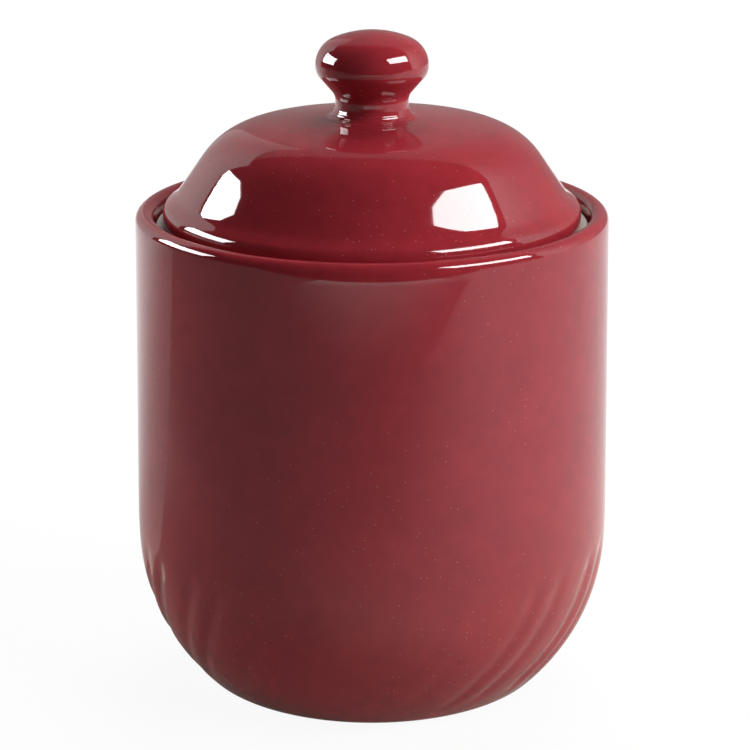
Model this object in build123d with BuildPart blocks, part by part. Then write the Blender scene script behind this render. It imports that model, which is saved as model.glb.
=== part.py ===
from build123d import *
import os
from math import asin, cos, degrees, radians, sin, sqrt, tan

# A glazed stoneware canister in three pieces: a jar with a swirl of ribs round its bowl, a domed
# lid with a knob, fired as one piece, and the soft ring that the lid wears under its brim.
# Millimetres and degrees. The origin is on the axis at the face of the foot, and -Y is the front.

# Jar, outside
jar_height = 161.7  # foot's face to the top of the rim
rim_radius = 78.05  # outside, just under the rim's rounding
wall = 6.3
wall_lean = 0.68  # the upright wall widens at this angle going down
belly_height = 62.4  # the upright wall ends here
belly_radius = 239.0
belly_turn = 3.2
bowl_radius = 68.4
heel_radius = 7.2

# Jar, foot
foot_height = 1.0  # the foot ring stands this far below the heel
foot_inset = 3.3  # from where the heel's arc ends to the foot ring
foot_width = 6.0
foot_edge = 0.4
recess_height = 2.4  # the underside within the ring, above the ring's face

# Jar, inside
floor_height = 8.0
floor_corner = 22.0
ledge_depth = 7.0  # the lid's seat, below the top of the rim
ledge_width = 5.75
ledge_thickness = 6.0
ledge_slope = 40.0  # the ledge's underside falls to the wall at this angle
ledge_corner = 1.2
ledge_edge = 1.5
ledge_root = 5.0

# Swirl: pairs of creases with a rib between, in groups, which lean to the right as they rise
swirl_low = 4.4
swirl_high = 55.0
fade_in = 9.0  # the creases deepen over this height above the foot
fade_out = 12.0  # and run out over this height below the swirl's top
crease_depth = 1.3  # at the two sides
depth_taper = 1.5  # from there to the front and the back, the depth falls by this power of the sine
crease_gap = 8.8  # between the two creases of a pair
shoulder_width = 5.0  # from a crease to the plain wall
pair_pitch = 23.5
pairs_in_group = 3
group_count = 4
first_group = 40.0  # azimuth from the front towards +X, at the swirl's mid height
lean_turn = 22.9  # from the low end to the high end
lean_ease = 0.62  # 0 is an even lean, and 1 ends upright
slice_count = 16
slice_crowding = 1.3  # above 1, the slices lie closer together at the foot

# Lid, outside: heights are above the brim's underside, and insets are from the brim's edge
brim_gap = 2.75  # from the brim's edge to the jar's mouth
brim_height = 5.8
brim_edge = 4.3
brim_lower_edge = 1.5
flare_inset = 4.5
flare_height = 9.3
flare_rounding = 11.4
shoulder_inset = 19.0
shoulder_rounding = 26.2
crown_height = 35.6
crown_radius = 237.0

# Neck and knob
neck_radius = 12.1
neck_length = 7.1  # from the dome to the corner where the knob's cone begins
neck_cove = 4.0
neck_waist = 4.3
cone_angle = 48.1
knob_radius = 18.6
knob_lower_radius = 6.3
knob_upper_radius = 9.4
knob_crown_radius = 32.9

# Lid, inside
lid_wall = 5.5
flange_gap = 1.4  # from the flange to the jar's throat
flange_length = 12.3
flange_edge = 2.4
inner_flare_rounding = 16.0
inner_shoulder_rounding = 20.0
bore_radius = 6.5  # the hollow up the neck
bore_cover = 12.3  # stoneware over the bore's end, up to the top of the knob
bore_edge = 2.5

# Sealing ring
ring_thickness = 2.0
ring_edge = 0.6
groove_depth = 1.0
groove_clearance = 0.1
ring_mouth_clearance = 0.5
seat_clearance = 0.3  # between the ring and the ledge, with the lid at rest

mouth_radius = rim_radius - wall
throat_radius = mouth_radius - ledge_width
brim_radius = mouth_radius - brim_gap
flange_radius = throat_radius - flange_gap
groove_radius = flange_radius - groove_depth
rim_center = jar_height - wall / 2
ledge_height = jar_height - ledge_depth
ring_base = ledge_height + seat_clearance
brim_base = ring_base + ring_thickness


def unit(angle):
    """Unit vector of the section, at an angle above the horizontal."""
    return Vector(cos(radians(angle)), sin(radians(angle)))


# The wall's outline: a leaning line, a belly arc and a bowl arc, each tangent to the one above
lean_run = tan(radians(wall_lean))
bowl_angle = wall_lean - belly_turn
belly_start = Vector(rim_radius + (rim_center - belly_height) * lean_run, belly_height)
belly_center = belly_start - unit(wall_lean) * belly_radius
bowl_start = belly_center + unit(bowl_angle) * belly_radius
bowl_center = bowl_start - unit(bowl_angle) * bowl_radius


def floor_arc(inset, floor, corner):
    """Centre of the arc that joins the bowl to a level floor, and the angle where the arc begins."""
    reach = bowl_radius - inset - corner
    drop = floor + corner - bowl_center.Y
    center = Vector(bowl_center.X + sqrt(reach**2 - drop**2), floor + corner)
    return center, degrees(asin(drop / reach))


def wall_outline(top, inset, floor, corner):
    """Draws the wall's outline from a height down to a level floor, inside the outer one by the inset."""
    start_radius = rim_radius + (rim_center - top) * lean_run - inset / cos(radians(wall_lean))
    corner_center, corner_angle = floor_arc(inset, floor, corner)
    Line((start_radius, top), belly_start - unit(wall_lean) * inset)
    CenterArc(belly_center, belly_radius - inset, wall_lean, -belly_turn)
    CenterArc(bowl_center, bowl_radius - inset, bowl_angle, corner_angle - bowl_angle)
    CenterArc(corner_center, corner, corner_angle, -90 - corner_angle)


def round_corner(sketch, corner, radius):
    """Rounds the corner of a sketch that lies nearest to a point."""
    fillet(sketch.vertices().sort_by_distance(corner)[0], radius)


def outside_at(height):
    """Radius of the plain wall at a height of the swirl, and how far its normal tips down."""
    in_bowl = height < bowl_start.Y
    center = bowl_center if in_bowl else belly_center
    radius = bowl_radius if in_bowl else belly_radius
    tip = asin((center.Y - height) / radius)
    return center.X + radius * cos(tip), tip


def fade(height):
    """Share of the full crease depth, eased in above the foot and out below the swirl's top."""
    low = min(1, (height - swirl_low) / fade_in)
    high = min(1, (swirl_high - height) / fade_out)
    return low**2 * (3 - 2 * low) * high**2 * (3 - 2 * high)


def lean(share):
    """Turn of the creases at a share of the swirl's height, before the turn at mid height."""
    return lean_turn * ((1 + lean_ease) * share - lean_ease * share**2)


groups = [first_group + 360 / group_count * k for k in range(group_count)]
pair_offsets = [pair_pitch * (k - (pairs_in_group - 1) / 2) for k in range(pairs_in_group)]
pairs = [group + offset for group in groups for offset in pair_offsets]


def swirl_slice(height):
    """One level slice: shoulder, rib and shoulder for each pair of creases, then the plain wall.

    The face comes from loose edges, because the loft needs the same arcs in every slice, and a
    sketch would join them into one circle where the creases run out.
    """
    turn = lean((height - swirl_low) / (swirl_high - swirl_low)) - lean(0.5)

    def on_plan(azimuth, radius):
        turned = radians(azimuth + turn)
        return Vector(radius * sin(turned), -radius * cos(turned), height)

    def along(azimuth):
        turned = radians(azimuth + turn)
        return Vector(cos(turned), sin(turned), 0)

    plain, tip = outside_at(height)
    crease = crease_gap / 2
    reach = crease + shoulder_width
    edges = []
    for pair, following in zip(pairs, pairs[1:] + [pairs[0] + 360]):
        depth = crease_depth * abs(sin(radians(pair))) ** depth_taper * fade(height)
        bottom = plain - depth / cos(tip)
        first = on_plan(pair - crease, bottom)
        last = on_plan(pair + crease, bottom)
        end = on_plan(pair + reach, plain)
        halfway = on_plan((pair + following) / 2, plain)
        edges.append(TangentArc(on_plan(pair - reach, plain), first, tangent=along(pair - reach)))
        edges.append(ThreePointArc(first, on_plan(pair, plain), last))
        edges.append(TangentArc(end, last, tangent=-along(pair + reach)))
        edges.append(ThreePointArc(end, halfway, on_plan(following - reach, plain)))
    return Face(Wire(edges))


slice_shares = [(k / slice_count) ** slice_crowding for k in range(slice_count + 1)]
swirl_slices = [swirl_slice(swirl_low + (swirl_high - swirl_low) * share) for share in slice_shares]

# The ledge's sloping underside meets the inner wall where both lines have the same radius.
ledge_under = ledge_height - ledge_thickness
slope_run = 1 / tan(radians(ledge_slope))
wall_offset = rim_radius - wall / cos(radians(wall_lean)) - throat_radius
slope_foot = (ledge_under * slope_run - rim_center * lean_run - wall_offset) / (slope_run - lean_run)
slope_reach = throat_radius + (ledge_under - slope_foot) * slope_run

heel_end = Vector(floor_arc(0, foot_height, heel_radius)[0].X, foot_height)
floor_end = Vector(floor_arc(wall, floor_height, floor_corner)[0].X, floor_height)
foot_radius = heel_end.X - foot_inset

# Jar: turned solid with its rim and foot, the lofted swirl in place of a plain band, then the cavity
with BuildPart() as jar:
    with BuildSketch(Plane.XZ) as body_section:
        with BuildLine():
            wall_outline(rim_center, 0, foot_height, heel_radius)
            CenterArc((rim_radius - wall / 2, rim_center), wall / 2, 0, 180)
            Polyline((mouth_radius, rim_center), (mouth_radius, ledge_height), (0, ledge_height))
            Line((0, ledge_height), (0, recess_height))
            Polyline(
                (0, recess_height),
                (foot_radius - foot_width, recess_height),
                (foot_radius - foot_width, 0),
                (foot_radius, 0),
                (foot_radius, foot_height),
                heel_end,
            )
        make_face()
        round_corner(body_section, (mouth_radius, ledge_height), ledge_corner)
        chamfer(body_section.vertices().sort_by_distance((foot_radius, 0))[0], foot_edge)
        chamfer(body_section.vertices().sort_by_distance((foot_radius - foot_width, 0))[0], foot_edge)
    revolve(axis=Axis.Z)
    with BuildSketch(Plane.XY.offset(swirl_low)):
        Circle(rim_radius + wall)
    extrude(amount=swirl_high - swirl_low, mode=Mode.SUBTRACT)
    loft(sections=swirl_slices)
    with BuildSketch(Plane.XZ) as cavity_section:
        with BuildLine():
            wall_outline(slope_foot, wall, floor_height, floor_corner)
            Polyline(
                (slope_reach, slope_foot),
                (throat_radius, ledge_under),
                (throat_radius, jar_height),
                (0, jar_height),
                (0, floor_height),
                floor_end,
            )
        make_face()
        round_corner(cavity_section, (slope_reach, slope_foot), ledge_root)
        round_corner(cavity_section, (throat_radius, ledge_under), ledge_edge)
    revolve(axis=Axis.Z, mode=Mode.SUBTRACT)
    seat_edges = jar.edges().filter_by(GeomType.CIRCLE)
    fillet(seat_edges.sort_by_distance((throat_radius, 0, ledge_height))[0], ledge_edge)

# Dome's crown: one large arc on the axis, outside and inside
crown_center = Vector(0, brim_base + crown_height - crown_radius)


def crown_at(reach, inset):
    """Height of the dome's crown at a distance from the axis, under its outside by the inset."""
    return crown_center.Y + sqrt((crown_radius - inset) ** 2 - reach**2)


# Knob: a cone, a lower arc, an upper arc and a crown arc on the axis, each tangent to the one below
neck_foot = Vector(neck_radius, crown_at(neck_radius, 0))
waist = neck_foot + Vector(0, neck_length)
lower_start = Vector(knob_radius - knob_lower_radius, 0) + unit(cone_angle - 90) * knob_lower_radius
knob_middle = waist.Y + (lower_start.X - neck_radius) * tan(radians(cone_angle)) - lower_start.Y
crown_run = knob_radius - knob_upper_radius
crown_reach = knob_crown_radius - knob_upper_radius
knob_crown_center = Vector(0, knob_middle - sqrt(crown_reach**2 - crown_run**2))
knob_crown_angle = degrees(asin(crown_run / crown_reach))
knob_top = knob_crown_center.Y + knob_crown_radius

# Dome: corners of the outline, and of the inside, which runs a wall's thickness under it
shoulder = Vector(brim_radius - shoulder_inset, crown_at(brim_radius - shoulder_inset, 0))
flare = Vector(brim_radius - flare_inset, brim_base + flare_height)
slope = (shoulder - flare).normalized()
inner_flare = flare + Vector(-slope.Y, slope.X) * lid_wall
flange_inside = flange_radius - lid_wall
flange_top = inner_flare.Y + (flange_inside - inner_flare.X) * slope.Y / slope.X
from_crown = inner_flare - crown_center
along_slope = from_crown.dot(slope)
inner_radius = crown_radius - lid_wall
inner_slope = sqrt(along_slope**2 - from_crown.dot(from_crown) + inner_radius**2) - along_slope
inner_shoulder = inner_flare + slope * inner_slope
flange_foot = brim_base - flange_length
groove_base = ring_base - groove_clearance
bore_foot = Vector(bore_radius, crown_at(bore_radius, lid_wall))
bore_end = knob_top - bore_cover

with BuildPart() as lid:
    with BuildSketch(Plane.XZ) as lid_section:
        with BuildLine():
            CenterArc(knob_crown_center, knob_crown_radius, 90, -knob_crown_angle)
            upper_center = (knob_radius - knob_upper_radius, knob_middle)
            CenterArc(upper_center, knob_upper_radius, 90 - knob_crown_angle, knob_crown_angle - 90)
            lower_center = (knob_radius - knob_lower_radius, knob_middle)
            CenterArc(lower_center, knob_lower_radius, 0, cone_angle - 90)
            Polyline(lower_start + Vector(0, knob_middle), waist, neck_foot)
            crown_start = degrees(asin((neck_foot.Y - crown_center.Y) / crown_radius))
            crown_end = degrees(asin((shoulder.Y - crown_center.Y) / crown_radius))
            CenterArc(crown_center, crown_radius, crown_start, crown_end - crown_start)
            Polyline(
                shoulder,
                flare,
                (brim_radius, brim_base + brim_height),
                (brim_radius, brim_base),
                (groove_radius, brim_base),
                (groove_radius, groove_base),
                (flange_radius, groove_base),
                (flange_radius, flange_foot),
                (flange_inside, flange_foot),
                (flange_inside, flange_top),
                inner_shoulder,
            )
            inner_start = degrees(asin((inner_shoulder.Y - crown_center.Y) / inner_radius))
            inner_end = degrees(asin((bore_foot.Y - crown_center.Y) / inner_radius))
            CenterArc(crown_center, inner_radius, inner_start, inner_end - inner_start)
            Line(bore_foot, (bore_radius, bore_end - bore_radius))
            CenterArc((0, bore_end - bore_radius), bore_radius, 0, 90)
            Line((0, bore_end), (0, knob_top))
        make_face()
        round_corner(lid_section, waist, neck_waist)
        round_corner(lid_section, neck_foot, neck_cove)
        round_corner(lid_section, shoulder, shoulder_rounding)
        round_corner(lid_section, flare, flare_rounding)
        round_corner(lid_section, (brim_radius, brim_base + brim_height), brim_edge)
        round_corner(lid_section, (brim_radius, brim_base), brim_lower_edge)
        round_corner(lid_section, (flange_radius, flange_foot), flange_edge)
        round_corner(lid_section, (flange_inside, flange_foot), flange_edge)
        round_corner(lid_section, (flange_inside, flange_top), inner_flare_rounding)
        round_corner(lid_section, inner_shoulder, inner_shoulder_rounding)
        round_corner(lid_section, bore_foot, bore_edge)
    revolve(axis=Axis.Z)

# Sealing ring: stretched into the lid's groove, between the brim and the jar's ledge
ring_inside = groove_radius + groove_clearance
ring_width = mouth_radius - ring_mouth_clearance - ring_inside
with BuildPart() as seal_ring:
    with BuildSketch(Plane.XZ) as ring_section:
        with Locations((ring_inside + ring_width / 2, ring_base + ring_thickness / 2)):
            Rectangle(ring_width, ring_thickness)
        chamfer(ring_section.vertices(), ring_edge)
    revolve(axis=Axis.Z)

jar.part.label = "jar"
lid.part.label = "lid"
seal_ring.part.label = "seal_ring"

os.makedirs("parts", exist_ok=True)
export_step(jar.part, "parts/jar.step")
export_step(lid.part, "parts/lid.step")
export_step(seal_ring.part, "parts/seal_ring.step")
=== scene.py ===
from math import asin, cos, degrees, pi, radians, sin, sqrt, tan

import bpy
import numpy as np
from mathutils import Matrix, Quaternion, Vector


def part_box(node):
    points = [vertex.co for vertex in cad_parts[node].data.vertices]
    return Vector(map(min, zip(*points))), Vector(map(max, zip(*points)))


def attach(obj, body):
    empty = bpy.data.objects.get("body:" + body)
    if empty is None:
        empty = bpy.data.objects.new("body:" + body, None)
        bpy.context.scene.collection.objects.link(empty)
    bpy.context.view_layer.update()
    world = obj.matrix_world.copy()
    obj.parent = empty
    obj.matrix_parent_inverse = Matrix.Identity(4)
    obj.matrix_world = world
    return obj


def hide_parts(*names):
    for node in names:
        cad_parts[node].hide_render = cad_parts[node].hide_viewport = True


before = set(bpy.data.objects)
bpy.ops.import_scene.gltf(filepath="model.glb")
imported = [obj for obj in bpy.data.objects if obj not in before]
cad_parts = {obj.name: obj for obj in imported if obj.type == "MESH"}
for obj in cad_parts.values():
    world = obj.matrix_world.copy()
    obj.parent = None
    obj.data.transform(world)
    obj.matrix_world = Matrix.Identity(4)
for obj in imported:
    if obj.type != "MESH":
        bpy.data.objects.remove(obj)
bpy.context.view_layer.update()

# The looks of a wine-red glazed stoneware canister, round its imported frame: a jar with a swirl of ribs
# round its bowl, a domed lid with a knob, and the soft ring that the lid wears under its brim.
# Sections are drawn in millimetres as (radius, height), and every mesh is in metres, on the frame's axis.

MM = 0.001
STEP = 0.1  # between the points of a section line as it is drawn, in mm
SAME_POINT = 0.001  # points of a section line that lie closer than this are one

jar_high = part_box("jar")[1] / MM
lid_low, lid_high = (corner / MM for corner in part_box("lid"))
ring_low, ring_high = (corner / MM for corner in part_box("seal_ring"))

# Jar, outside
RIM_RADIUS = 78.05
WALL = 6.3
WALL_LEAN = 0.68
BELLY_HEIGHT = 62.4
BELLY_RADIUS = 239.0
BELLY_TURN = 3.2
BOWL_RADIUS = 68.4
HEEL_RADIUS = 7.2

# Jar, foot
FOOT_HEIGHT = 1.0
FOOT_INSET = 3.3
FOOT_WIDTH = 6.0
FOOT_EDGE = 0.5
FOOT_ROOT = 0.45
RECESS_HEIGHT = 2.4
RECESS_CORNER = 1.1

# Jar, inside
FLOOR_HEIGHT = 8.0
FLOOR_CORNER = 22.0
LEDGE_DEPTH = 7.0
LEDGE_WIDTH = 5.75
LEDGE_THICKNESS = 6.0
LEDGE_SLOPE = 40.0
LEDGE_CORNER = 1.2
LEDGE_EDGE = 1.5
LEDGE_ROOT = 5.0

# Swirl of creases round the bowl: heights and depths in mm, and sizes round the jar in degrees
SWIRL_LOW = 4.4
SWIRL_HIGH = 55.0
FADE_IN = 9.0
FADE_OUT = 12.0
CREASE_DEPTH = 1.0  # a little less than in the solids, as a thick glaze fills a crease
DEPTH_TAPER = 1.5  # how fast the depth falls from the sides to the front and the back
CREASE_GAP = 8.8
SHOULDER_WIDTH = 5.0
CREASE_SOFTNESS = 1.9  # the glaze rounds a crease's bottom over about this many degrees
PAIR_PITCH = 23.5
PAIRS_IN_GROUP = 3
GROUP_COUNT = 4
FIRST_GROUP = 40.0
LEAN_TURN = 22.9  # from the swirl's foot to its top
LEAN_EASE = 0.62  # how much of the turn moves towards the foot

# Lid: heights are above the brim's underside, and insets are from the brim's edge
BRIM_HEIGHT = 5.8
BRIM_EDGE = 4.3
BRIM_LOWER_EDGE = 1.5
FLARE_INSET = 4.5
FLARE_HEIGHT = 9.3
FLARE_ROUNDING = 11.4
SHOULDER_INSET = 19.0
SHOULDER_ROUNDING = 26.2
CROWN_HEIGHT = 35.6
CROWN_RADIUS = 237.0

# Neck and knob
NECK_RADIUS = 12.1
NECK_LENGTH = 7.1
NECK_COVE = 4.0
NECK_WAIST = 4.3
CONE_ANGLE = 48.1
KNOB_RADIUS = 18.6
KNOB_LOWER_RADIUS = 6.3
KNOB_UPPER_RADIUS = 9.4
KNOB_CROWN_RADIUS = 32.9
TURNING_PITCH = 1.5  # between the fine turning marks at the foot of the neck
TURNING_DEPTH = 0.07
TURNING_REACH = 6.0  # from the neck out over the dome
DARKENING_REACH = 5.0  # from the foot of the neck, over which the glaze is drawn darker

# Lid, inside
LID_WALL = 5.5
FLANGE_GAP = 1.4
FLANGE_EDGE = 2.4
INNER_FLARE_ROUNDING = 16.0
INNER_SHOULDER_ROUNDING = 20.0
BORE_RADIUS = 6.5
BORE_COVER = 12.3
BORE_EDGE = 2.5
GROOVE_DEPTH = 1.0
GROOVE_CLEARANCE = 0.1
GROOVE_CORNER = 0.25

# Sealing ring, with a fine groove round its outer face, between two lips
RING_EDGE = 0.7
RING_GROOVE = 0.25
RING_GROOVE_WIDTH = 0.2
RING_FACE = 0.3  # points this close to its outer radius lie on that face

# The cast clay is never quite true: it wavers inwards, by up to this much and over about this length
WAVER = 0.05
WAVER_LENGTH = 47.0
WAVES = ((2, 0.4, 0.6), (3, 2.1, -1.0), (5, 4.0, 1.7))  # lobes round the piece, phase, pace up the section

# Meshes: columns round a piece, the longest gap along its section in mm, and its largest bend in degrees
JAR_COLUMNS = 396
JAR_GAP = 7.0
SWIRL_GAP = 1.25
JAR_BEND = 9.0
CROWDING = 1.6  # how much closer the jar's columns lie at a crease
CROWDING_REACH = 2.2  # and up to about how many degrees from it
CROWDING_STEPS = 7200
LID_COLUMNS = 240
LID_GAP = 6.0
TURNING_GAP = 0.25
LID_BEND = 6.0
RING_COLUMNS = 256
RING_GAP = 0.5
RING_BEND = 15.0
FINE_MARGIN = 2.0  # the small gaps go on this far past the swirl and the turning marks

# What follows from those sizes and from the frame
JAR_HEIGHT = jar_high.z
BRIM_RADIUS = lid_high.x
BRIM_BASE = ring_high.z
RING_BASE = ring_low.z
MOUTH_RADIUS = RIM_RADIUS - WALL
THROAT_RADIUS = MOUTH_RADIUS - LEDGE_WIDTH
FLANGE_RADIUS = THROAT_RADIUS - FLANGE_GAP
RIM_CENTER = JAR_HEIGHT - WALL / 2
LEDGE_HEIGHT = JAR_HEIGHT - LEDGE_DEPTH


def unit(angle):
    """Unit vector of a section, at an angle in degrees above the horizontal."""
    return np.array([cos(radians(angle)), sin(radians(angle))])


def line(start, end):
    """Points in even steps from start to end."""
    start, end = np.asarray(start, float), np.asarray(end, float)
    count = max(2, int(np.linalg.norm(end - start) / STEP) + 2)
    return np.linspace(start, end, count)


def arc(center, radius, start, end):
    """Points in even steps on a circle, from one angle in degrees above the horizontal to another."""
    count = max(8, int(radius * abs(radians(end - start)) / STEP) + 2)
    angle = np.radians(np.linspace(start, end, count))
    return np.asarray(center) + radius * np.stack([np.cos(angle), np.sin(angle)], axis=1)


def nearest(points, run):
    """For each point, its distance from a run of points joined by straight segments, and the foot there."""
    start, along = run[:-1], np.diff(run, axis=0)
    share = np.einsum("pk,sk->ps", points, along) - np.einsum("sk,sk->s", start, along)
    share = np.clip(share / np.einsum("sk,sk->s", along, along), 0, 1)
    feet = start + share[:, :, None] * along
    gaps = np.linalg.norm(points[:, None] - feet, axis=2)
    best = gaps.argmin(axis=1)
    rows = np.arange(len(points))
    return gaps[rows, best], feet[rows, best], best


def rounded(before, after, radius):
    """Rounds the corner between two runs, and returns what is left of them with the arc between.

    Each point of the first run, shifted by the radius to the inside of the turn, could be the arc's
    centre. The right one is where the second run is a radius away too, going back from the corner.
    """
    travel = np.gradient(before, axis=0)
    travel /= np.linalg.norm(travel, axis=1)[:, None]
    ahead = after[1] - after[0]
    side = np.sign(travel[-1, 0] * ahead[1] - travel[-1, 1] * ahead[0])
    centers = before + side * radius * np.stack([-travel[:, 1], travel[:, 0]], axis=1)
    gaps = nearest(centers, after)[0]
    leave = np.nonzero(gaps >= radius)[0][-1]
    share = (gaps[leave] - radius) / (gaps[leave] - gaps[leave + 1])
    center = centers[leave] + share * (centers[leave + 1] - centers[leave])
    touch = before[leave] + share * (before[leave + 1] - before[leave])
    foot, segment = (found[0] for found in nearest(center[None], after)[1:])
    from_angle, to_angle = (degrees(np.arctan2(*(point - center)[::-1])) for point in (touch, foot))
    turn = (to_angle - from_angle + 180) % 360 - 180
    bend = arc(center, radius, from_angle, from_angle + turn)
    return before[: leave + 1], bend, np.concatenate([foot[None], after[segment + 1 :]])


def section(*steps):
    """One section line from runs of points. A number between two runs rounds their corner."""
    done, run, radius = [], steps[0], 0
    for step in steps[1:]:
        if np.isscalar(step):
            radius = step
            continue
        if radius:
            run, bend, step = rounded(run, step, radius)
            done += [run, bend]
        else:
            done.append(run)
        run, radius = step, 0
    points = np.concatenate(done + [run])
    apart = np.linalg.norm(np.diff(points, axis=0), axis=1) > SAME_POINT
    return points[np.concatenate([[True], apart])]


def spaced(points, longest, bend):
    """Picks points along a section line, so that neither the gap nor the turn between two is large.

    The longest gap may be one length or one for each point, and bend is the largest turn in degrees.
    """
    along = np.diff(points, axis=0)
    length = np.linalg.norm(along, axis=1)
    heading = np.unwrap(np.arctan2(along[:, 1], along[:, 0]))
    turn = np.abs(np.gradient(heading))
    longest = np.broadcast_to(longest, len(points))[1:]
    share = np.concatenate([[0], np.cumsum(length / longest + turn / radians(bend))])
    wanted = np.linspace(0, share[-1], int(share[-1]) + 2)
    return np.stack([np.interp(wanted, share, points[:, k]) for k in (0, 1)], axis=1)


def facing(points):
    """Outward unit normals of a section line that has the clay on its left."""
    travel = np.gradient(points, axis=0)
    travel /= np.linalg.norm(travel, axis=1)[:, None]
    return np.stack([travel[:, 1], -travel[:, 0]], axis=1)


def waver(azimuth, along):
    """Uneven share from 0 to 1 of the waver: sine waves round the piece and up its section, added."""
    turn = 2 * pi * along[:, None] / WAVER_LENGTH
    round_it = np.radians(azimuth)
    waves = sum(np.sin(lobes * round_it + phase + pace * turn) for lobes, phase, pace in WAVES)
    return 0.5 + waves / (2 * len(WAVES))


def turned(name, points, azimuth, depth=0.0, poles=True):
    """A turned piece: each section point goes round the axis at x = r sin a, y = -r cos a.

    The azimuth grid has one row for each section point, and depth sinks each grid point into the
    piece along the section's normal. With poles, the section's two ends are single points on the
    axis, closed by fans of triangles, and the piece wavers as cast clay does. Without them, the
    section joins up with itself. Also returned is which grid points the mesh has.
    """
    normal = facing(points)
    along = np.concatenate([[0], np.cumsum(np.linalg.norm(np.diff(points, axis=0), axis=1))])
    sunk = depth + (WAVER * waver(azimuth, along) if poles else 0.0)
    radius = points[:, :1] - normal[:, :1] * sunk
    height = points[:, 1:] - normal[:, 1:] * sunk
    angle = np.radians(azimuth)
    grid = np.stack([radius * np.sin(angle), -radius * np.cos(angle), height + 0 * angle], axis=2)
    rows, columns = azimuth.shape
    number = np.arange(rows * columns).reshape(rows, columns)
    beside = np.roll(number, -1, axis=1)
    above = np.roll(number, -1, axis=0)
    quads = np.stack([number, beside, np.roll(beside, -1, axis=0), above], axis=2)
    vertices = grid.reshape(-1, 3)
    if poles:
        quads = quads[1 : rows - 2]
        low = len(vertices)
        vertices = np.concatenate([vertices, [[0, 0, points[0, 1]], [0, 0, points[-1, 1]]]])
        first, last = number[1], number[rows - 2]
        low_fan = np.stack([np.full(columns, low), np.roll(first, -1), first], axis=1)
        high_fan = np.stack([last, np.roll(last, -1), np.full(columns, low + 1)], axis=1)
        fans = np.concatenate([low_fan, high_fan]).tolist()
        used = np.ones(len(vertices), bool)
        used[number[0]] = used[number[rows - 1]] = False
    else:
        fans, used = [], np.ones(len(vertices), bool)
    renumber = np.cumsum(used) - 1
    faces = renumber[quads.reshape(-1, 4)].tolist() + [[renumber[k] for k in fan] for fan in fans]
    mesh = bpy.data.meshes.new(name)
    mesh.from_pydata((vertices[used] * MM).tolist(), [], faces)
    mesh.polygons.foreach_set("use_smooth", np.ones(len(faces), bool))
    mesh.update()
    piece = bpy.data.objects.new(name, mesh)
    bpy.context.scene.collection.objects.link(piece)
    return piece, used[: rows * columns]


def mark(piece, name, values):
    """Stores one number for each vertex of a piece, for its material to read."""
    full = np.zeros(len(piece.data.vertices), np.float32)
    full[: len(values)] = values
    piece.data.attributes.new(name, "FLOAT", "POINT").data.foreach_set("value", full)


# Jar

LEAN_RUN = tan(radians(WALL_LEAN))
BOWL_ANGLE = WALL_LEAN - BELLY_TURN
BELLY_START = np.array([RIM_RADIUS + (RIM_CENTER - BELLY_HEIGHT) * LEAN_RUN, BELLY_HEIGHT])
BELLY_CENTER = BELLY_START - unit(WALL_LEAN) * BELLY_RADIUS
BOWL_START = BELLY_CENTER + unit(BOWL_ANGLE) * BELLY_RADIUS
BOWL_CENTER = BOWL_START - unit(BOWL_ANGLE) * BOWL_RADIUS


def wall_line(top, inset, floor, corner):
    """The wall from a height down to a level floor: a line, a belly arc, a bowl arc and a corner arc."""
    reach = BOWL_RADIUS - inset - corner
    drop = floor + corner - BOWL_CENTER[1]
    center = (BOWL_CENTER[0] + sqrt(reach**2 - drop**2), floor + corner)
    angle = degrees(asin(drop / reach))
    start = RIM_RADIUS + (RIM_CENTER - top) * LEAN_RUN - inset / cos(radians(WALL_LEAN))
    return section(
        line((start, top), BELLY_START - unit(WALL_LEAN) * inset),
        arc(BELLY_CENTER, BELLY_RADIUS - inset, WALL_LEAN, BOWL_ANGLE),
        arc(BOWL_CENTER, BOWL_RADIUS - inset, BOWL_ANGLE, angle),
        arc(center, corner, angle, -90),
    )


def jar_section():
    """From the middle of the underside out round the foot, up the outside, over the rim and down inside."""
    outside = wall_line(RIM_CENTER, 0, FOOT_HEIGHT, HEEL_RADIUS)[::-1]
    foot = outside[0, 0] - FOOT_INSET
    ledge_under = LEDGE_HEIGHT - LEDGE_THICKNESS
    slope_run = 1 / tan(radians(LEDGE_SLOPE))
    offset = RIM_RADIUS - WALL / cos(radians(WALL_LEAN)) - THROAT_RADIUS
    slope_foot = (ledge_under * slope_run - RIM_CENTER * LEAN_RUN - offset) / (slope_run - LEAN_RUN)
    slope_reach = THROAT_RADIUS + (ledge_under - slope_foot) * slope_run
    inside = wall_line(slope_foot, WALL, FLOOR_HEIGHT, FLOOR_CORNER)
    return section(
        line((0, RECESS_HEIGHT), (foot - FOOT_WIDTH, RECESS_HEIGHT)),
        RECESS_CORNER,
        line((foot - FOOT_WIDTH, RECESS_HEIGHT), (foot - FOOT_WIDTH, 0)),
        FOOT_EDGE,
        line((foot - FOOT_WIDTH, 0), (foot, 0)),
        FOOT_EDGE,
        line((foot, 0), (foot, FOOT_HEIGHT)),
        FOOT_ROOT,
        line((foot, FOOT_HEIGHT), outside[0]),
        outside,
        arc((RIM_RADIUS - WALL / 2, RIM_CENTER), WALL / 2, 0, 180),
        line((MOUTH_RADIUS, RIM_CENTER), (MOUTH_RADIUS, LEDGE_HEIGHT)),
        LEDGE_CORNER,
        line((MOUTH_RADIUS, LEDGE_HEIGHT), (THROAT_RADIUS, LEDGE_HEIGHT)),
        LEDGE_EDGE,
        line((THROAT_RADIUS, LEDGE_HEIGHT), (THROAT_RADIUS, ledge_under)),
        LEDGE_EDGE,
        line((THROAT_RADIUS, ledge_under), (slope_reach, slope_foot)),
        LEDGE_ROOT,
        inside,
        line(inside[-1], (0, FLOOR_HEIGHT)),
    )


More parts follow.
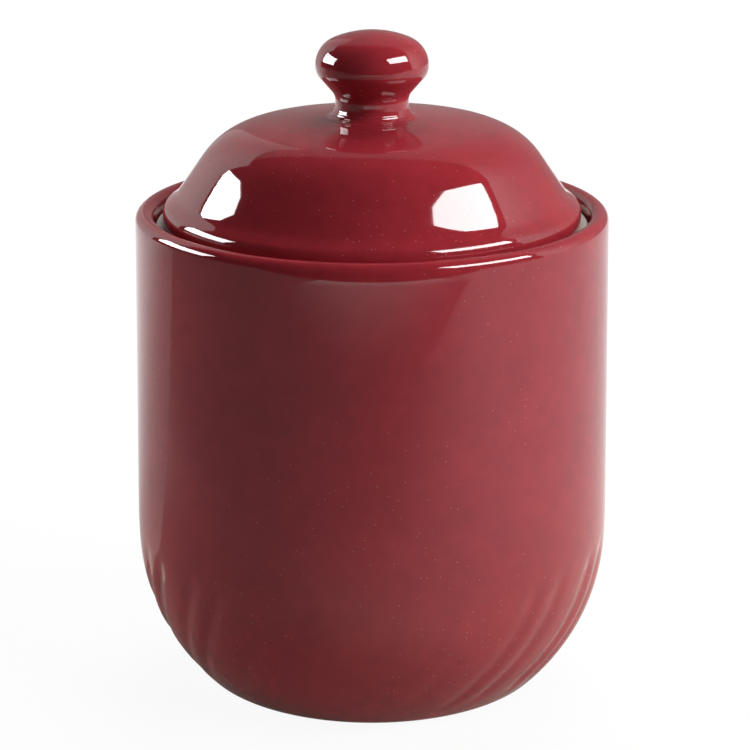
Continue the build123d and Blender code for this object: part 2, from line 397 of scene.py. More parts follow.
def smooth(share):
    """Eased share from 0 to 1: 3 s squared less 2 s cubed."""
    share = np.clip(share, 0, 1)
    return share**2 * (3 - 2 * share)


def crease_form(azimuth):
    """How deep the swirl sinks at azimuths at mid height, in mm, and the angle from the nearest crease.

    It is deepest on a crease. From there a parabola falls to 0 at the middle of the rib, and another
    at the shoulder's end. The angle from the crease is softened, so that its bottom is round. The
    depth of a pair falls from the two sides to the front and the back, by a power of the sine.
    """
    group = (azimuth - FIRST_GROUP + 180 / GROUP_COUNT) % (360 / GROUP_COUNT) - 180 / GROUP_COUNT
    nearest_pair = np.clip(np.round(group / PAIR_PITCH), -(PAIRS_IN_GROUP // 2), PAIRS_IN_GROUP // 2)
    from_pair = group - nearest_pair * PAIR_PITCH
    aside = np.abs(from_pair) - CREASE_GAP / 2
    width = np.where(aside < 0, CREASE_GAP / 2, SHOULDER_WIDTH)
    soft = np.sqrt(aside**2 + CREASE_SOFTNESS**2) - CREASE_SOFTNESS
    widest = np.sqrt(width**2 + CREASE_SOFTNESS**2) - CREASE_SOFTNESS
    deepest = CREASE_DEPTH * np.abs(np.sin(np.radians(azimuth - from_pair))) ** DEPTH_TAPER
    return deepest * np.clip(1 - soft / widest, 0, 1) ** 2, aside


def crowded_azimuths(count, crowding):
    """Azimuths round the whole circle that lie closer together near the creases.

    They are even steps of a running sum, of 1 and of a bell curve of the angle from the nearest crease.
    """
    fine = np.linspace(0, 360, CROWDING_STEPS + 1)
    aside = crease_form(fine)[1]
    share = np.cumsum(1 + crowding * np.exp(-((aside / CROWDING_REACH) ** 2)))
    share = (share - share[0]) / (share[-1] - share[0])
    return np.interp(np.arange(count) / count, share, fine)


def make_jar():
    """The jar, whose columns follow the lean of the swirl so that each crease lies on its columns.

    They turn by a parabola of the climb from the swirl's foot to its top, which is steeper low down
    and passes 0 at middle height.
    """
    drawn = jar_section()
    outer = np.arange(len(drawn)) < drawn[:, 1].argmax()
    in_swirl = outer & (drawn[:, 1] > FOOT_HEIGHT) & (drawn[:, 1] < SWIRL_HIGH + FINE_MARGIN)
    points = spaced(drawn, np.where(in_swirl, SWIRL_GAP, JAR_GAP), JAR_BEND)
    height = points[:, 1]
    outer = np.arange(len(points)) < height.argmax()
    climb = np.where(outer, np.clip((height - SWIRL_LOW) / (SWIRL_HIGH - SWIRL_LOW), 0, 1), 1)
    middle = 0.5
    turn = LEAN_TURN * ((1 + LEAN_EASE) * (climb - middle) - LEAN_EASE * (climb**2 - middle**2))
    fade = smooth((height - SWIRL_LOW) / FADE_IN) * smooth((SWIRL_HIGH - height) / FADE_OUT) * outer
    columns = crowded_azimuths(JAR_COLUMNS, CROWDING)
    sunk = fade[:, None] * crease_form(columns)[0]
    piece, used = turned("glazed_jar", points, columns + turn[:, None], sunk)
    # the glaze is drawn darker where the swirl sinks, most at each crease's bottom
    mark(piece, "darkening", sunk.ravel()[used] / CREASE_DEPTH)
    return piece


# Lid


def lid_section():
    """From the top of the bore down the inside, round the flange, up the outside and over the knob.

    Also returned is the foot of the neck, where the dome's line meets it.
    """
    crown_center = np.array([0, BRIM_BASE + CROWN_HEIGHT - CROWN_RADIUS])

    def crown_at(reach, inset):
        return crown_center[1] + sqrt((CROWN_RADIUS - inset) ** 2 - reach**2)

    def crown_angle(reach, inset):
        return degrees(np.arccos(reach / (CROWN_RADIUS - inset)))

    neck_foot = np.array([NECK_RADIUS, crown_at(NECK_RADIUS, 0)])
    waist = neck_foot + (0, NECK_LENGTH)
    lower_start = unit(CONE_ANGLE - 90) * KNOB_LOWER_RADIUS + (KNOB_RADIUS - KNOB_LOWER_RADIUS, 0)
    middle = waist[1] + (lower_start[0] - NECK_RADIUS) * tan(radians(CONE_ANGLE)) - lower_start[1]
    crown_run = KNOB_RADIUS - KNOB_UPPER_RADIUS
    crown_reach = KNOB_CROWN_RADIUS - KNOB_UPPER_RADIUS
    knob_crown = np.array([0, middle - sqrt(crown_reach**2 - crown_run**2)])
    knob_angle = degrees(asin(crown_run / crown_reach))
    knob_top = knob_crown[1] + KNOB_CROWN_RADIUS

    shoulder_reach = BRIM_RADIUS - SHOULDER_INSET
    shoulder = np.array([shoulder_reach, crown_at(shoulder_reach, 0)])
    flare = np.array([BRIM_RADIUS - FLARE_INSET, BRIM_BASE + FLARE_HEIGHT])
    slope = (shoulder - flare) / np.linalg.norm(shoulder - flare)
    inner_flare = flare + np.array([-slope[1], slope[0]]) * LID_WALL
    flange_inside = FLANGE_RADIUS - LID_WALL
    flange_top = inner_flare[1] + (flange_inside - inner_flare[0]) * slope[1] / slope[0]
    away = inner_flare - crown_center
    inner_radius = CROWN_RADIUS - LID_WALL
    climb = sqrt((away @ slope) ** 2 - away @ away + inner_radius**2) - away @ slope
    inner_shoulder = inner_flare + slope * climb
    flange_foot = lid_low.z
    groove_radius = FLANGE_RADIUS - GROOVE_DEPTH
    groove_base = RING_BASE - GROOVE_CLEARANCE
    bore_foot = (BORE_RADIUS, crown_at(BORE_RADIUS, LID_WALL))
    bore_end = knob_top - BORE_COVER
    inner_crown = (crown_angle(BORE_RADIUS, LID_WALL), crown_angle(inner_shoulder[0], LID_WALL))
    corners = {
        "inside": (flange_inside, flange_top),
        "foot_inside": (flange_inside, flange_foot),
        "foot": (FLANGE_RADIUS, flange_foot),
        "groove_foot": (FLANGE_RADIUS, groove_base),
        "groove_low": (groove_radius, groove_base),
        "groove_high": (groove_radius, BRIM_BASE),
        "brim": (BRIM_RADIUS, BRIM_BASE),
        "brim_top": (BRIM_RADIUS, BRIM_BASE + BRIM_HEIGHT),
    }
    return section(
        arc((0, bore_end - BORE_RADIUS), BORE_RADIUS, 90, 0),
        line((BORE_RADIUS, bore_end - BORE_RADIUS), bore_foot),
        BORE_EDGE,
        arc(crown_center, inner_radius, *inner_crown),
        INNER_SHOULDER_ROUNDING,
        line(inner_shoulder, corners["inside"]),
        INNER_FLARE_ROUNDING,
        line(corners["inside"], corners["foot_inside"]),
        FLANGE_EDGE,
        line(corners["foot_inside"], corners["foot"]),
        FLANGE_EDGE,
        line(corners["foot"], corners["groove_foot"]),
        GROOVE_CORNER,
        line(corners["groove_foot"], corners["groove_low"]),
        GROOVE_CORNER,
        line(corners["groove_low"], corners["groove_high"]),
        GROOVE_CORNER,
        line(corners["groove_high"], corners["brim"]),
        BRIM_LOWER_EDGE,
        line(corners["brim"], corners["brim_top"]),
        BRIM_EDGE,
        line(corners["brim_top"], flare),
        FLARE_ROUNDING,
        line(flare, shoulder),
        SHOULDER_ROUNDING,
        arc(crown_center, CROWN_RADIUS, crown_angle(shoulder[0], 0), crown_angle(NECK_RADIUS, 0)),
        NECK_COVE,
        line(neck_foot, waist),
        NECK_WAIST,
        line(waist, lower_start + (0, middle)),
        arc((KNOB_RADIUS - KNOB_LOWER_RADIUS, middle), KNOB_LOWER_RADIUS, CONE_ANGLE - 90, 0),
        arc((KNOB_RADIUS - KNOB_UPPER_RADIUS, middle), KNOB_UPPER_RADIUS, 0, 90 - knob_angle),
        arc(knob_crown, KNOB_CROWN_RADIUS, 90 - knob_angle, 90),
    ), neck_foot


def make_lid():
    """The lid, with fine turning marks round the foot of its neck: a cosine that dies away outwards."""
    drawn, neck_foot = lid_section()
    beside_neck = np.linalg.norm(drawn - neck_foot, axis=1) < TURNING_REACH + FINE_MARGIN
    points = spaced(drawn, np.where(beside_neck, TURNING_GAP, LID_GAP), LID_BEND)
    away = points[:, 0] - NECK_RADIUS
    below = np.clip(points[:, 1] - neck_foot[1], 0, None)
    from_neck = np.sqrt(np.clip(away, 0, None) ** 2 + below**2)
    outside = (np.arange(len(points)) > points[:, 0].argmax()) & (away > -1)
    share = np.where(outside, 1 - smooth(from_neck / TURNING_REACH), 0)
    marks = TURNING_DEPTH * share * (1 + np.cos(2 * pi * (away - below) / TURNING_PITCH)) / 2
    columns = np.arange(LID_COLUMNS) * 360 / LID_COLUMNS
    piece, used = turned("glazed_lid", points, columns + 0 * points[:, :1], marks[:, None])
    # the glaze is drawn darker round the foot of the neck, less so farther out
    darkening = np.where(outside, smooth(1 - from_neck / DARKENING_REACH), 0)[:, None] + 0 * columns
    mark(piece, "darkening", darkening.ravel()[used])
    return piece


# Sealing ring


def make_ring():
    """A soft ring with rounded edges and a fine groove round its outer face, a bell curve in section."""
    inside = FLANGE_RADIUS - GROOVE_DEPTH + GROOVE_CLEARANCE
    outside, base, top = ring_high.x, RING_BASE, BRIM_BASE
    middle = (base + top) / 2
    points = section(
        line((inside, middle), (inside, base)),
        RING_EDGE,
        line((inside, base), (outside, base)),
        RING_EDGE,
        line((outside, base), (outside, top)),
        RING_EDGE,
        line((outside, top), (inside, top)),
        RING_EDGE,
        line((inside, top), (inside, middle)),
    )
    points = spaced(points, RING_GAP, RING_BEND)[:-1]
    columns = np.arange(RING_COLUMNS) * 360 / RING_COLUMNS
    groove = RING_GROOVE * np.exp(-(((points[:, 1] - middle) / RING_GROOVE_WIDTH) ** 2))
    groove *= points[:, 0] > outside - RING_FACE
    return turned("silicone_ring", points, columns + 0 * points[:, :1], groove[:, None], poles=False)[0]


# Finishes. Colours are sRGB, and pattern sizes are in mm.

GLAZE_RED = "#9B2A33"
# a darker red, drawn at the creases' bottoms and the neck's foot
GLAZE_DARKER = "#6A1922"
GLAZE_SPECK = "#C98E88"
DARKENING_SHARE = 0.06  # how far a crease's bottom and the neck's foot go to the darker colour
CLOUDED_SHARE = 0.3  # and how far the clouds and the mottling go
CLOUD_SIZE = 30.0
MOTTLE_SIZE = 5.0
CLOUDS_START = 0.75  # the glaze darkens while these two patterns' sum goes from here to the next
CLOUDS_END = 1.25
SPECK_CELL = 1.8  # pinholes and dust are points in some of these cells
SPECK_CORE = 0.04  # radius of a speck's even middle, and of its edge, where a cell is 1
SPECK_EDGE = 0.16
SPECK_STRENGTH = 0.6
DRIFT_SIZE = 50.0  # the specks gather in drifts of this size
DRIFT_PULL = 3.0  # and this strongly
SPECK_BAR = 2.35  # a cell has a speck if its drift and its chance together pass this
MELT_SIZE = 9.0  # the melt settles with this faint waver
MELT_DEPTH = 0.01
RAGGED_SIZE = 4.0  # the glaze's lower edge, where it was wiped off
RAGGED_DEPTH = 0.6
DRY_HEIGHT = 0.7  # from a piece's lowest point up to that edge, where the clay is bare
CLAY_DARK = "#B8A184"
CLAY_PALE = "#D2C1A6"
GRIT_SIZE = 0.5
GRIT_DEPTH = 0.1
SILICONE_DARK = "#B9B8B0"
SILICONE_PALE = "#CFCDC4"
HAZE_SIZE = 6.0


def pattern_scale(size):
    """Scale of a pattern of a size in mm, on coordinates in metres."""
    return 1 / (size * MM)


def tint(code):
    """Linear colour of an sRGB hex value."""
    parts = np.array([int(code[k : k + 2], 16) for k in (1, 3, 5)]) / 255
    linear = np.where(parts <= 0.04045, parts / 12.92, ((parts + 0.055) / 1.055) ** 2.4)
    return (*linear.tolist(), 1.0)


def add(tree, kind, inputs, **settings):
    """Adds one node with its settings, and fills its sockets with values or with links."""
    node = tree.nodes.new(kind)
    for name, value in settings.items():
        setattr(node, name, value)
    for name, value in inputs.items():
        if isinstance(value, bpy.types.NodeSocket):
            tree.links.new(value, node.inputs[name])
        else:
            node.inputs[name].default_value = value
    return node


def new_tree(name):
    """A new material, and its node tree, which is empty."""
    material = bpy.data.materials.new(name)
    material.use_nodes = True
    material.node_tree.nodes.clear()
    return material, material.node_tree


def wine_glaze(name, dry_below):
    """Gloss glaze, stained wine red and fired over cast stoneware, with the bare clay where it stands.

    The eye gets a deep red with a clear hard gloss. The glaze is a little darker at the creases' bottoms
    and the neck's foot, faintly cloudy over a few centimetres, with small pale pinholes and dust.
    """
    material, tree = new_tree(name)
    place = add(tree, "ShaderNodeTexCoord", {}).outputs["Object"]
    # share by which the glaze is drawn darker, at the creases' bottoms and the neck's foot
    darkening = add(tree, "ShaderNodeAttribute", {}, attribute_name="darkening").outputs["Fac"]

    # Clouds and mottling, and the darker bottoms of the creases and foot of the neck
    cloud = add(
        tree, "ShaderNodeTexNoise", {"Vector": place, "Scale": pattern_scale(CLOUD_SIZE), "Detail": 2.0}
    )
    mottle = add(
        tree, "ShaderNodeTexNoise", {"Vector": place, "Scale": pattern_scale(MOTTLE_SIZE), "Detail": 3.0}
    )
    both = add(tree, "ShaderNodeMath", {0: cloud.outputs["Fac"], 1: mottle.outputs["Fac"]}, operation="ADD")
    clouded = add(
        tree,
        "ShaderNodeMapRange",
        {
            "Value": both.outputs[0],
            "From Min": CLOUDS_START,
            "From Max": CLOUDS_END,
            "To Max": CLOUDED_SHARE,
        },
    )
    darkness = add(
        tree,
        "ShaderNodeMath",
        {0: darkening, 1: DARKENING_SHARE, 2: clouded.outputs["Result"]},
        operation="MULTIPLY_ADD",
        use_clamp=True,
    )
    stain = add(
        tree,
        "ShaderNodeMix",
        {0: darkness.outputs[0], 6: tint(GLAZE_RED), 7: tint(GLAZE_DARKER)},
        data_type="RGBA",
    )

    # Pinholes and dust, about 0.2 mm in radius, and more of them in the drifts
    cells = add(tree, "ShaderNodeTexVoronoi", {"Vector": place, "Scale": pattern_scale(SPECK_CELL)})
    chance = add(tree, "ShaderNodeSeparateColor", {"Color": cells.outputs["Color"]})
    drift = add(
        tree, "ShaderNodeTexNoise", {"Vector": place, "Scale": pattern_scale(DRIFT_SIZE), "Detail": 1.0}
    )
    odds = add(
        tree,
        "ShaderNodeMath",
        {0: drift.outputs["Fac"], 1: DRIFT_PULL, 2: chance.outputs["Red"]},
        operation="MULTIPLY_ADD",
    )
    chosen = add(tree, "ShaderNodeMath", {0: odds.outputs[0], 1: SPECK_BAR}, operation="GREATER_THAN")
    spot = add(
        tree,
        "ShaderNodeMapRange",
        {
            "Value": cells.outputs["Distance"],
            "From Min": SPECK_CORE,
            "From Max": SPECK_EDGE,
            "To Min": SPECK_STRENGTH,
            "To Max": 0.0,
        },
    )
    speck = add(
        tree, "ShaderNodeMath", {0: spot.outputs["Result"], 1: chosen.outputs[0]}, operation="MULTIPLY"
    )
    colour = add(
        tree,
        "ShaderNodeMix",
        {0: speck.outputs[0], 6: stain.outputs[2], 7: tint(GLAZE_SPECK)},
        data_type="RGBA",
    )

    # The melt settles with a faint waver
    melt = add(
        tree, "ShaderNodeTexNoise", {"Vector": place, "Scale": pattern_scale(MELT_SIZE), "Detail": 1.0}
    )
    skin = add(
        tree,
        "ShaderNodeBump",
        {"Height": melt.outputs["Fac"], "Strength": 1.0, "Distance": MELT_DEPTH * MM},
    )
    glaze = add(
        tree,
        "ShaderNodeBsdfPrincipled",
        {
            "Base Color": colour.outputs[2],
            "Roughness": 0.04,
            "IOR": 1.56,
            "Normal": skin.outputs["Normal"],
        },
    )

    # Bare clay below the glaze's ragged lower edge
    clay = stoneware_clay(tree, place)
    level = add(tree, "ShaderNodeSeparateXYZ", {"Vector": place})
    ragged = add(
        tree, "ShaderNodeTexNoise", {"Vector": place, "Scale": pattern_scale(RAGGED_SIZE), "Detail": 2.0}
    )
    edge = add(
        tree,
        "ShaderNodeMath",
        {0: ragged.outputs["Fac"], 1: RAGGED_DEPTH * MM, 2: (dry_below - RAGGED_DEPTH / 2) * MM},
        operation="MULTIPLY_ADD",
    )
    dry = add(tree, "ShaderNodeMath", {0: level.outputs["Z"], 1: edge.outputs[0]}, operation="LESS_THAN")
    surface = add(
        tree,
        "ShaderNodeMixShader",
        {0: dry.outputs[0], 1: glaze.outputs["BSDF"], 2: clay.outputs["BSDF"]},
    )
    add(tree, "ShaderNodeOutputMaterial", {"Surface": surface.outputs["Shader"]})
    return material


def stoneware_clay(tree, place):
    """Bare fired stoneware, wiped clean of glaze: the eye gets a matt buff with fine grit."""
    grit = add(
        tree, "ShaderNodeTexNoise", {"Vector": place, "Scale": pattern_scale(GRIT_SIZE), "Detail": 2.0}
    )
    shade = add(
        tree,
        "ShaderNodeMix",
        {0: grit.outputs["Fac"], 6: tint(CLAY_DARK), 7: tint(CLAY_PALE)},
        data_type="RGBA",
    )
    rough = add(
        tree,
        "ShaderNodeBump",
        {"Height": grit.outputs["Fac"], "Strength": 0.6, "Distance": GRIT_DEPTH * MM},
    )
    return add(
        tree,
        "ShaderNodeBsdfPrincipled",
        {"Base Color": shade.outputs[2], "Roughness": 0.85, "IOR": 1.5, "Normal": rough.outputs["Normal"]},
    )


def moulded_silicone():
    """Milky moulded silicone rubber: soft grey-white, satin, with light bleeding a little way in."""
    material, tree = new_tree("moulded_silicone")
    place = add(tree, "ShaderNodeTexCoord", {}).outputs["Object"]
    haze = add(
        tree, "ShaderNodeTexNoise", {"Vector": place, "Scale": pattern_scale(HAZE_SIZE), "Detail": 2.0}
    )
    shade = add(
        tree,
        "ShaderNodeMix",
        {0: haze.outputs["Fac"], 6: tint(SILICONE_DARK), 7: tint(SILICONE_PALE)},
        data_type="RGBA",
    )
    rubber = add(
        tree,
        "ShaderNodeBsdfPrincipled",
        {
            "Base Color": shade.outputs[2],
            "Roughness": 0.42,
            "IOR": 1.41,
            "Subsurface Weight": 0.35,
            "Subsurface Radius": (1.0, 0.9, 0.8),
            "Subsurface Scale": 1.0 * MM,
        },
    )
    add(tree, "ShaderNodeOutputMaterial", {"Surface": rubber.outputs["BSDF"]})
    return material


# Studio. Places are in metres, and azimuths are in degrees from the front towards +X.

LID_MIDDLE = np.array([0, 0, 0.19])  # what the lamps face
FLOOR_REACH = 4.0
FLOOR_FRONT = -0.93  # the floor paper's front edge, past which the room is dark
MARGIN_BACK = -0.52  # the paper glows brighter in the glaze, a painted light, from here to that edge, between the next two
MARGIN_LEFT = -0.40
MARGIN_RIGHT = 0.55
PAPER_LIFT = 0.001  # of a paper that lies on the floor's
CARD_START = -106.0  # a card lies at the left between these azimuths and distances
CARD_END = -165.0
CARD_NEAR = 0.14
CARD_FAR = 2.5
BACKDROP_AZIMUTH = 163.0  # the backdrop's foot is nearest here
BACKDROP_DISTANCE = 1.7
BACKDROP_LEFT = 60.0  # degrees that it fills on either side of that
BACKDROP_RIGHT = 75.0
BACKDROP_RISE = 1.70  # above the lid's middle, for each metre of distance
SHEET_START = -126.0  # a sheet stands at the left between these azimuths, in front of the backdrop
SHEET_END = -168.0
SHEET_DISTANCE = 1.5
SHEET_RISE = 0.8  # as the backdrop's

# The papers' colours, to the camera and then as they light the object
PAPER_WHITE = "#F2F2F0"
PAPER_AT_FOOT = "#DADAD8"
PAPER_LYING = "#A8A8A7"
PAPER_STANDING = "#C8C8C6"
AT_FOOT_START = 0.12  # a paper counts as at the foot up to this far from the axis, and not past the next
AT_FOOT_END = 0.3

# The papers as the glaze mirrors them
FULL_WHITE = "#FFFFFF"
WARM_WHITE = "#FFF4E8"
PAPER_GLOW = 0.93  # share of a paper that is white whatever falls on it
SHADE_CENTER = (-0.14, -0.02, 0.0)  # a paper is dim round here, in the object's shadow
SHADE_START = 0.10
SHADE_END = 0.22
CONTACT_LEVEL = 0.5  # painted contact shadow: share of its level that it keeps close to the axis
CONTACT_START = 0.06
CONTACT_END = 0.13

# Each paper's colour as it lights the object, the azimuth of the line along which it brightens in the
# glaze, the two places on that line between which it does, and its levels there
PAPERS = {
    "floor_paper": (PAPER_LYING, 135, (-0.32, 0.14), (0.27, 1.0)),
    "card_paper": (PAPER_LYING, CARD_START - 90, (0.0, 0.35), (0.55, 1.1)),
    "margin_paper": (PAPER_LYING, 0, (-MARGIN_BACK, -FLOOR_FRONT), (0.27, 1.4)),
    "backdrop_paper": (PAPER_STANDING, BACKDROP_AZIMUTH - 90, (0.4, 3.6), (0.25, 1.5)),
    "sheet_paper": (PAPER_STANDING, -100, (0.7, 1.3), (0.5, 1.1)),
}

# Each lamp's azimuth, elevation and distance, the angles that it fills across and upwards, its roll,
# its radiance, and whether the glaze mirrors it
LAMPS = {
    "right_softbox": (65, 38.5, 1.2, 40, 19, -10, 18.0, True),
    "left_softbox": (-105, 20, 1.4, 35, 21, 8, 18.0, True),
    "right_fill": (68, 34, 2.0, 40, 24, 0, 8.8, False),
    "low_right_fill": (78, 11, 2.0, 50, 20, 0, 4.2, False),
    "left_fill": (-127, 4, 2.0, 50, 14, 0, 13.0, False),
    "back_fill": (165, 50, 1.6, 40, 40, 0, 5.4, False),
}
ROOM_LEVEL = 0.03  # how bright the room past the papers is in the glaze

# Camera, which frames the object as the photo does
LENS = 135.37  # in mm, as is the sensor
SENSOR = 36.0
SHIFT = 0.004
CAMERA_PLACE = (0, -0.9080, 0.3761)
CAMERA_TILT = 16.70  # below level
CAMERA_REACH = 20.0  # to past the farthest corner of the papers


def white_paper(name, lighting, azimuth, places, levels):
    """Matt white paper, white to the camera, and uneven where the glaze mirrors it.

    Mirrored, it glows with a painted light, whose level eases from one to another between two places on
    a line at an azimuth. It carries a painted shadow of the object, and close to the foot a darker painted
    contact shadow, slightly warm. A small share of it stays matt, which keeps the object's real shadow on
    it. To the light that share is pale at the foot and greyer farther away, so that the walls aren't lit
    too strongly from below.
    """
    material, tree = new_tree(name)
    place = add(tree, "ShaderNodeTexCoord", {}).outputs["Object"]
    ray = add(tree, "ShaderNodeLightPath", {})
    camera_ray = ray.outputs["Is Camera Ray"]

    # Level in the glaze: a painted light, with a painted shadow of the object
    start, end = places
    dim, bright = levels
    along = add(
        tree, "ShaderNodeVectorMath", {0: place, 1: tuple(towards(azimuth))}, operation="DOT_PRODUCT"
    )
    rise = add(
        tree,
        "ShaderNodeMapRange",
        {"Value": along.outputs["Value"], "From Min": start, "From Max": end, "To Max": bright - dim},
        interpolation_type="SMOOTHSTEP",
    )
    away = add(tree, "ShaderNodeVectorMath", {0: place, 1: SHADE_CENTER}, operation="DISTANCE")
    clear = add(
        tree,
        "ShaderNodeMapRange",
        {"Value": away.outputs["Value"], "From Min": SHADE_START, "From Max": SHADE_END},
        interpolation_type="SMOOTHSTEP",
    )
    lit = add(
        tree,
        "ShaderNodeMath",
        {0: rise.outputs["Result"], 1: clear.outputs["Result"], 2: dim},
        operation="MULTIPLY_ADD",
    )
    reach = add(tree, "ShaderNodeVectorMath", {0: place}, operation="LENGTH")
    # painted contact shadow, dimming the paper's mirrored glow close to the foot
    contact_shadow = add(
        tree,
        "ShaderNodeMapRange",
        {
            "Value": reach.outputs["Value"],
            "From Min": CONTACT_START,
            "From Max": CONTACT_END,
            "To Min": CONTACT_LEVEL,
        },
    )
    glow = add(
        tree,
        "ShaderNodeMath",
        {0: lit.outputs[0], 1: contact_shadow.outputs["Result"]},
        operation="MULTIPLY",
    )
    strength = add(
        tree,
        "ShaderNodeMix",
        {0: camera_ray, 2: glow.outputs[0], 3: 1.0},
        data_type="FLOAT",
    )

    # Colours of its white share and of its matt share
    farther = add(
        tree,
        "ShaderNodeMapRange",
        {"Value": reach.outputs["Value"], "From Min": AT_FOOT_START, "From Max": AT_FOOT_END},
    )
    plainly = add(
        tree,
        "ShaderNodeMath",
        {0: farther.outputs["Result"], 1: camera_ray},
        operation="MAXIMUM",
    )
    hue = add(
        tree,
        "ShaderNodeMix",
        {0: plainly.outputs[0], 6: tint(WARM_WHITE), 7: tint(FULL_WHITE)},
        data_type="RGBA",
    )
    bounced = add(
        tree,
        "ShaderNodeMix",
        {0: farther.outputs["Result"], 6: tint(PAPER_AT_FOOT), 7: tint(lighting)},
        data_type="RGBA",
    )
    sheet = add(
        tree,
        "ShaderNodeMix",
        {0: camera_ray, 6: bounced.outputs[2], 7: tint(PAPER_WHITE)},
        data_type="RGBA",
    )

    # The white share is there for the camera and for mirrors and glass
    mirrored = add(
        tree,
        "ShaderNodeMath",
        {0: ray.outputs["Is Glossy Ray"], 1: ray.outputs["Is Transmission Ray"]},
        operation="MAXIMUM",
    )
    seen = add(
        tree,
        "ShaderNodeMath",
        {0: camera_ray, 1: mirrored.outputs[0]},
        operation="MAXIMUM",
    )
    share = add(tree, "ShaderNodeMath", {0: seen.outputs[0], 1: PAPER_GLOW}, operation="MULTIPLY")
    matt = add(tree, "ShaderNodeBsdfDiffuse", {"Color": sheet.outputs[2]})
    white = add(tree, "ShaderNodeEmission", {"Color": hue.outputs[2], "Strength": strength.outputs[0]})
    surface = add(
        tree,
        "ShaderNodeMixShader",
        {0: share.outputs[0], 1: matt.outputs["BSDF"], 2: white.outputs["Emission"]},
    )
    add(tree, "ShaderNodeOutputMaterial", {"Surface": surface.outputs["Shader"]})
    return material


def towards(azimuth, elevation=0.0):
    """Unit vector at an azimuth from the front towards +X, and an elevation, in degrees."""
    flat = cos(radians(elevation))
    return np.array([flat * sin(radians(azimuth)), -flat * cos(radians(azimuth)), sin(radians(elevation))])


def panel(name, corners, paper, only_mirrored=False):
    """A flat four-sided sheet of the stage. One that is only mirrored shows in the glaze alone."""
    mesh = bpy.data.meshes.new(name)
    mesh.from_pydata([tuple(corner) for corner in corners], [], [(0, 1, 2, 3)])
    mesh.materials.append(white_paper(paper, *PAPERS[paper]))
    sheet = bpy.data.objects.new(name, mesh)
    if only_mirrored:
        sheet.visible_camera = sheet.visible_diffuse = sheet.visible_shadow = False
    bpy.context.scene.collection.objects.link(sheet)


def standing(start, end, rise):
    """Corners of a sheet that stands on the floor from start to end, and rises past the lid's middle."""
    top = (0, 0, LID_MIDDLE[2] + rise)
    return start, end, end + top, start + top


def make_stage():
    """The papers: a floor with a brighter front margin, and a backdrop turned a little to the right.

    A card on the floor and a sheet before the backdrop, both at the left, show only in the glaze, as
    painted reflections.
    """
    left, right, back = -FLOOR_REACH, FLOOR_REACH, FLOOR_REACH
    floor = ((left, FLOOR_FRONT, 0), (right, FLOOR_FRONT, 0), (right, back, 0), (left, back, 0))
    panel("floor", floor, "floor_paper")

    first, last = towards(CARD_START), towards(CARD_END)
    card = (first * CARD_NEAR, last * CARD_NEAR, last * CARD_FAR, first * CARD_FAR)
    card = [corner + (0, 0, PAPER_LIFT) for corner in card]
    panel("left_card", card, "card_paper", only_mirrored=True)

    front = [(x, FLOOR_FRONT, PAPER_LIFT) for x in (MARGIN_LEFT, MARGIN_RIGHT)]
    behind = [(x, MARGIN_BACK, PAPER_LIFT) for x in (MARGIN_RIGHT, MARGIN_LEFT)]
    panel("front_margin", front + behind, "margin_paper")

    foot = towards(BACKDROP_AZIMUTH) * BACKDROP_DISTANCE
    aside = towards(BACKDROP_AZIMUTH - 90) * BACKDROP_DISTANCE
    left_foot = foot - aside * tan(radians(BACKDROP_LEFT))
    right_foot = foot + aside * tan(radians(BACKDROP_RIGHT))
    backdrop = standing(left_foot, right_foot, BACKDROP_DISTANCE * BACKDROP_RISE)
    panel("backdrop", backdrop, "backdrop_paper")

    front_foot, back_foot = (towards(azimuth) * SHEET_DISTANCE for azimuth in (SHEET_START, SHEET_END))
    sheet = standing(front_foot, back_foot, SHEET_DISTANCE * SHEET_RISE)
    panel("left_sheet", sheet, "sheet_paper", only_mirrored=True)


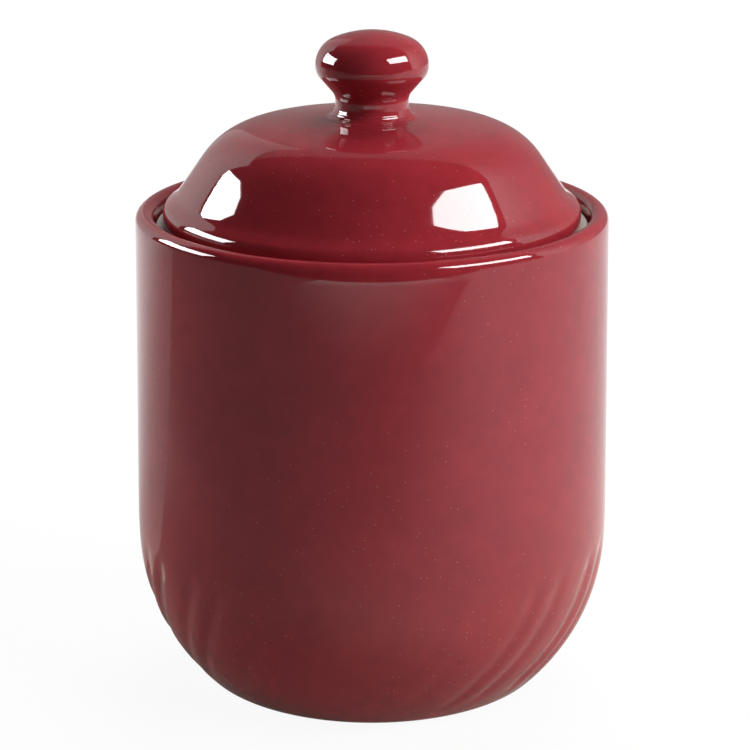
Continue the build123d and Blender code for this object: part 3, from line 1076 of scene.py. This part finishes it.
def softbox(name, azimuth, elevation, distance, width, height, roll, radiance, mirrored):
    """A square-cut soft lamp that faces the lid. Width and height are the angles that it fills.

    One that is mirrored gives the glaze its highlights alone. The others light the clay's colour
    evenly, as the scattered light of a studio does, and show no shape in the glaze.
    """
    sides = [2 * distance * tan(radians(angle / 2)) for angle in (width, height)]
    lamp = bpy.data.lights.new(name, "AREA")
    lamp.shape = "RECTANGLE"
    lamp.size, lamp.size_y = sides
    lamp.energy = pi * sides[0] * sides[1] * radiance
    holder = bpy.data.objects.new(name, lamp)
    away = towards(azimuth, elevation)
    holder.location = LID_MIDDLE + away * distance
    facing_lid = Vector(away).to_track_quat("Z", "Y")
    holder.rotation_mode = "QUATERNION"
    holder.rotation_quaternion = facing_lid @ Quaternion((0, 0, 1), radians(roll))
    holder.visible_camera = False
    holder.visible_glossy = mirrored
    holder.visible_diffuse = not mirrored
    bpy.context.scene.collection.objects.link(holder)


def make_room():
    """A dim room round the stage, as the glaze mirrors it, and white where the camera looks past it."""
    world = bpy.data.worlds.new("room")
    bpy.context.scene.world = world
    world.use_nodes = True
    tree = world.node_tree
    tree.nodes.clear()
    ray = add(tree, "ShaderNodeLightPath", {})
    dim = add(tree, "ShaderNodeBackground", {"Color": tint(FULL_WHITE), "Strength": ROOM_LEVEL})
    white = add(tree, "ShaderNodeBackground", {"Color": tint(FULL_WHITE), "Strength": 1.0})
    surface = add(
        tree,
        "ShaderNodeMixShader",
        {0: ray.outputs["Is Camera Ray"], 1: dim.outputs[0], 2: white.outputs[0]},
    )
    add(tree, "ShaderNodeOutputWorld", {"Surface": surface.outputs["Shader"]})


def make_camera():
    """The photo's view: upright, from a little above, with a long lens."""
    camera = bpy.data.cameras.new("camera")
    camera.lens = LENS
    camera.sensor_width = SENSOR
    camera.shift_x = SHIFT
    camera.clip_end = CAMERA_REACH
    holder = bpy.data.objects.new("camera", camera)
    holder.location = CAMERA_PLACE
    holder.rotation_euler = (radians(90 - CAMERA_TILT), 0, 0)
    bpy.context.scene.collection.objects.link(holder)
    bpy.context.scene.camera = holder


jar = make_jar()
jar.data.materials.append(wine_glaze("wine_glaze_on_jar", DRY_HEIGHT))
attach(jar, "jar")
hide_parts("jar")

lid = make_lid()
lid.data.materials.append(wine_glaze("wine_glaze_on_lid", lid_low.z + DRY_HEIGHT))
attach(lid, "lid")
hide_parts("lid")

ring = make_ring()
ring.data.materials.append(moulded_silicone())
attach(ring, "lid")
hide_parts("seal_ring")

make_stage()
for lamp, settings in LAMPS.items():
    softbox(lamp, *settings)
make_room()
make_camera()
bpy.context.scene.view_settings.view_transform = "Standard"
